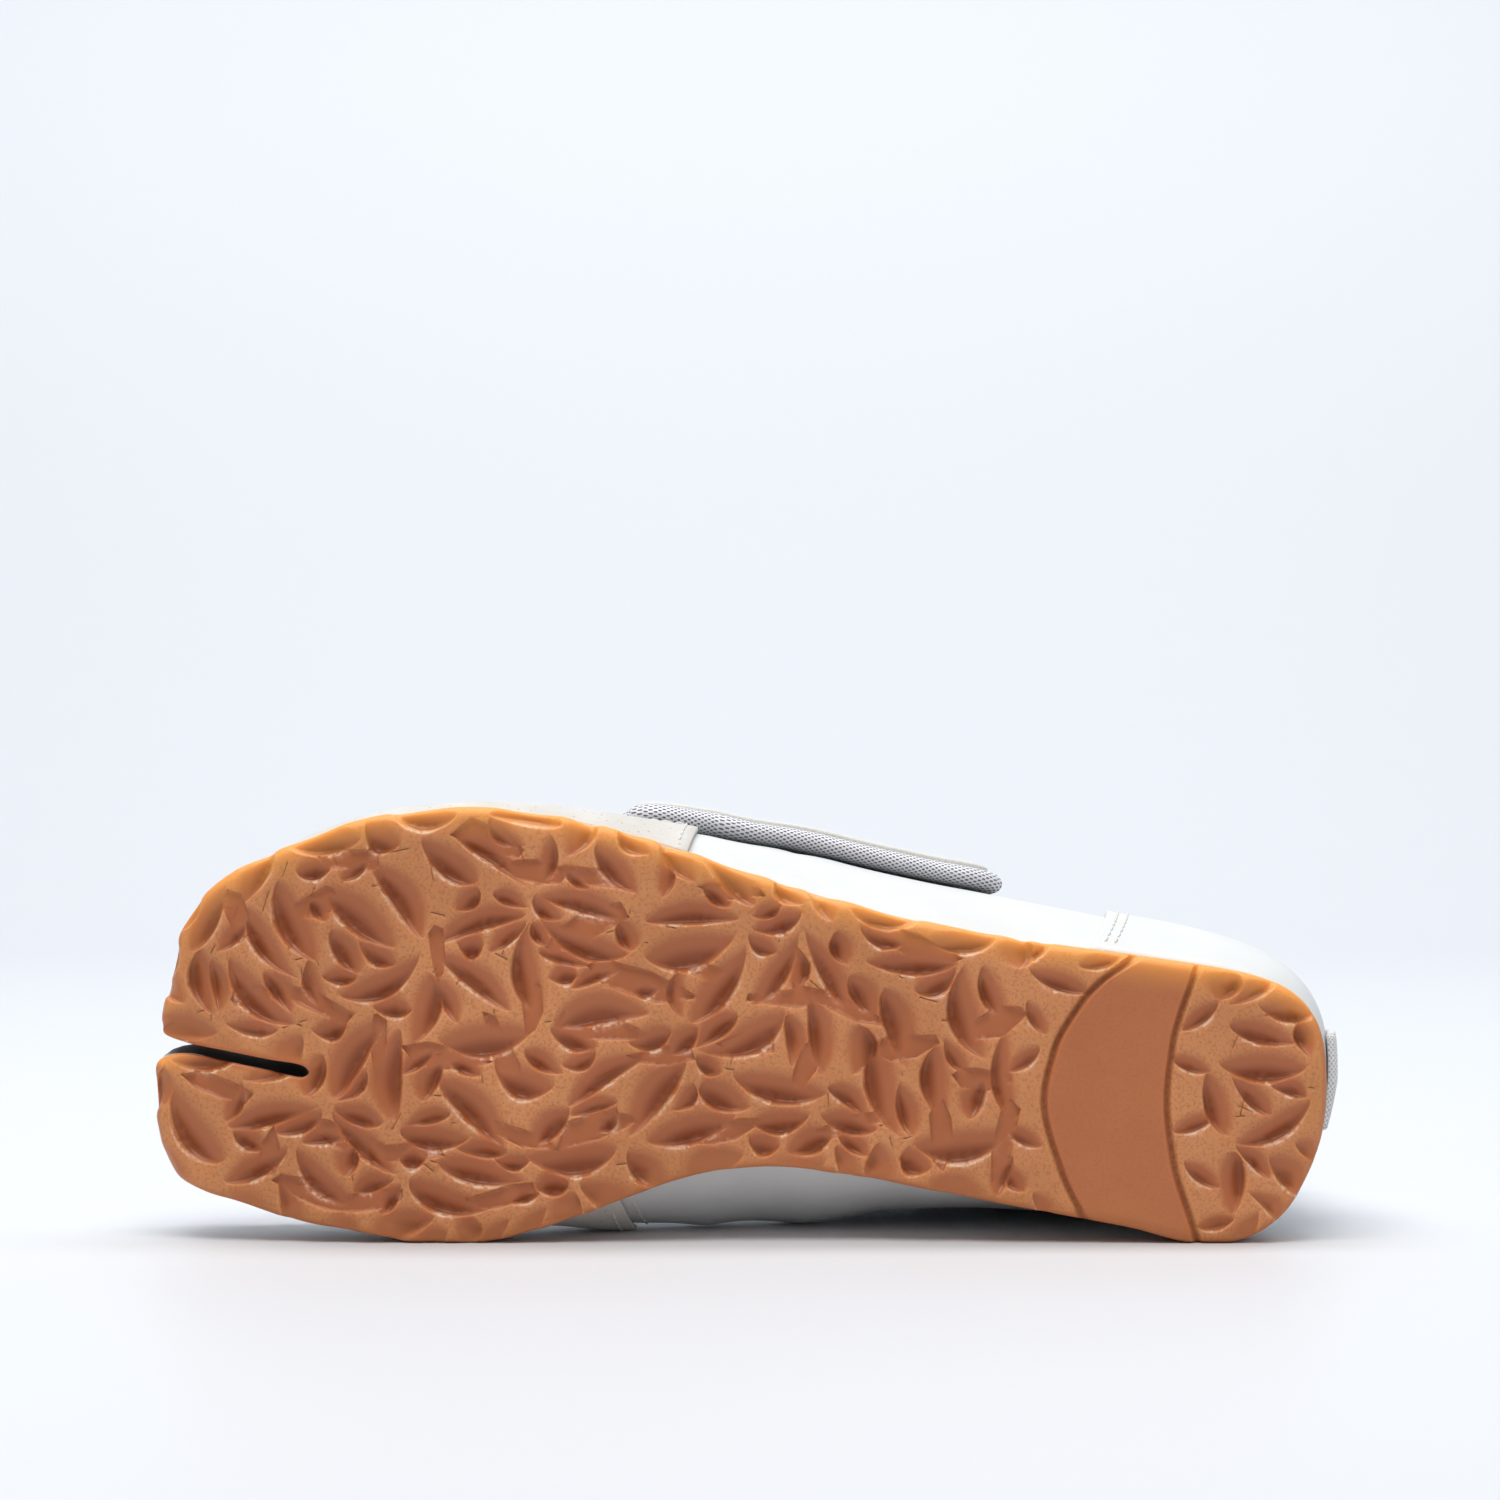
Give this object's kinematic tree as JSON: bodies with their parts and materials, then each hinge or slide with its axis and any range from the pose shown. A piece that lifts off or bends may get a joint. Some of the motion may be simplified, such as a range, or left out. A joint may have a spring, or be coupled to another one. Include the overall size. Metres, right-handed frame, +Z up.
{
  "type": "split-toe high-top sneaker",
  "caption": "Left split-toe high-top sneaker with a gum rubber sole, white leather upper, suede toe cap and a wide padded instep strap, lying on its inner side with the sole in view",
  "frame": {"origin": "centre of the bounding box, on the floor the shoe lies on", "axes": "+Z up from the floor, heel towards +X and toes towards -X, sole facing -Y and collar +Y, outer side of the foot up"},
  "size_m": [0.2678, 0.1284, 0.0974],
  "materials": {
    "gum_rubber": "matte gum rubber",
    "white_leather": "smooth white leather",
    "sand_suede": "sand suede",
    "grey_mesh": "grey knit mesh",
    "grey_webbing": "pale grey webbing"
  },
  "bodies": {
    "root": {"outsole": "gum_rubber", "insole": "grey_mesh", "upper": "white_leather", "toe_cap": "sand_suede", "heel_counter": "white_leather", "strap_pad": "grey_mesh", "strap_cover": "white_leather", "heel_tab": "grey_webbing"}
  },
  "joints": []
}
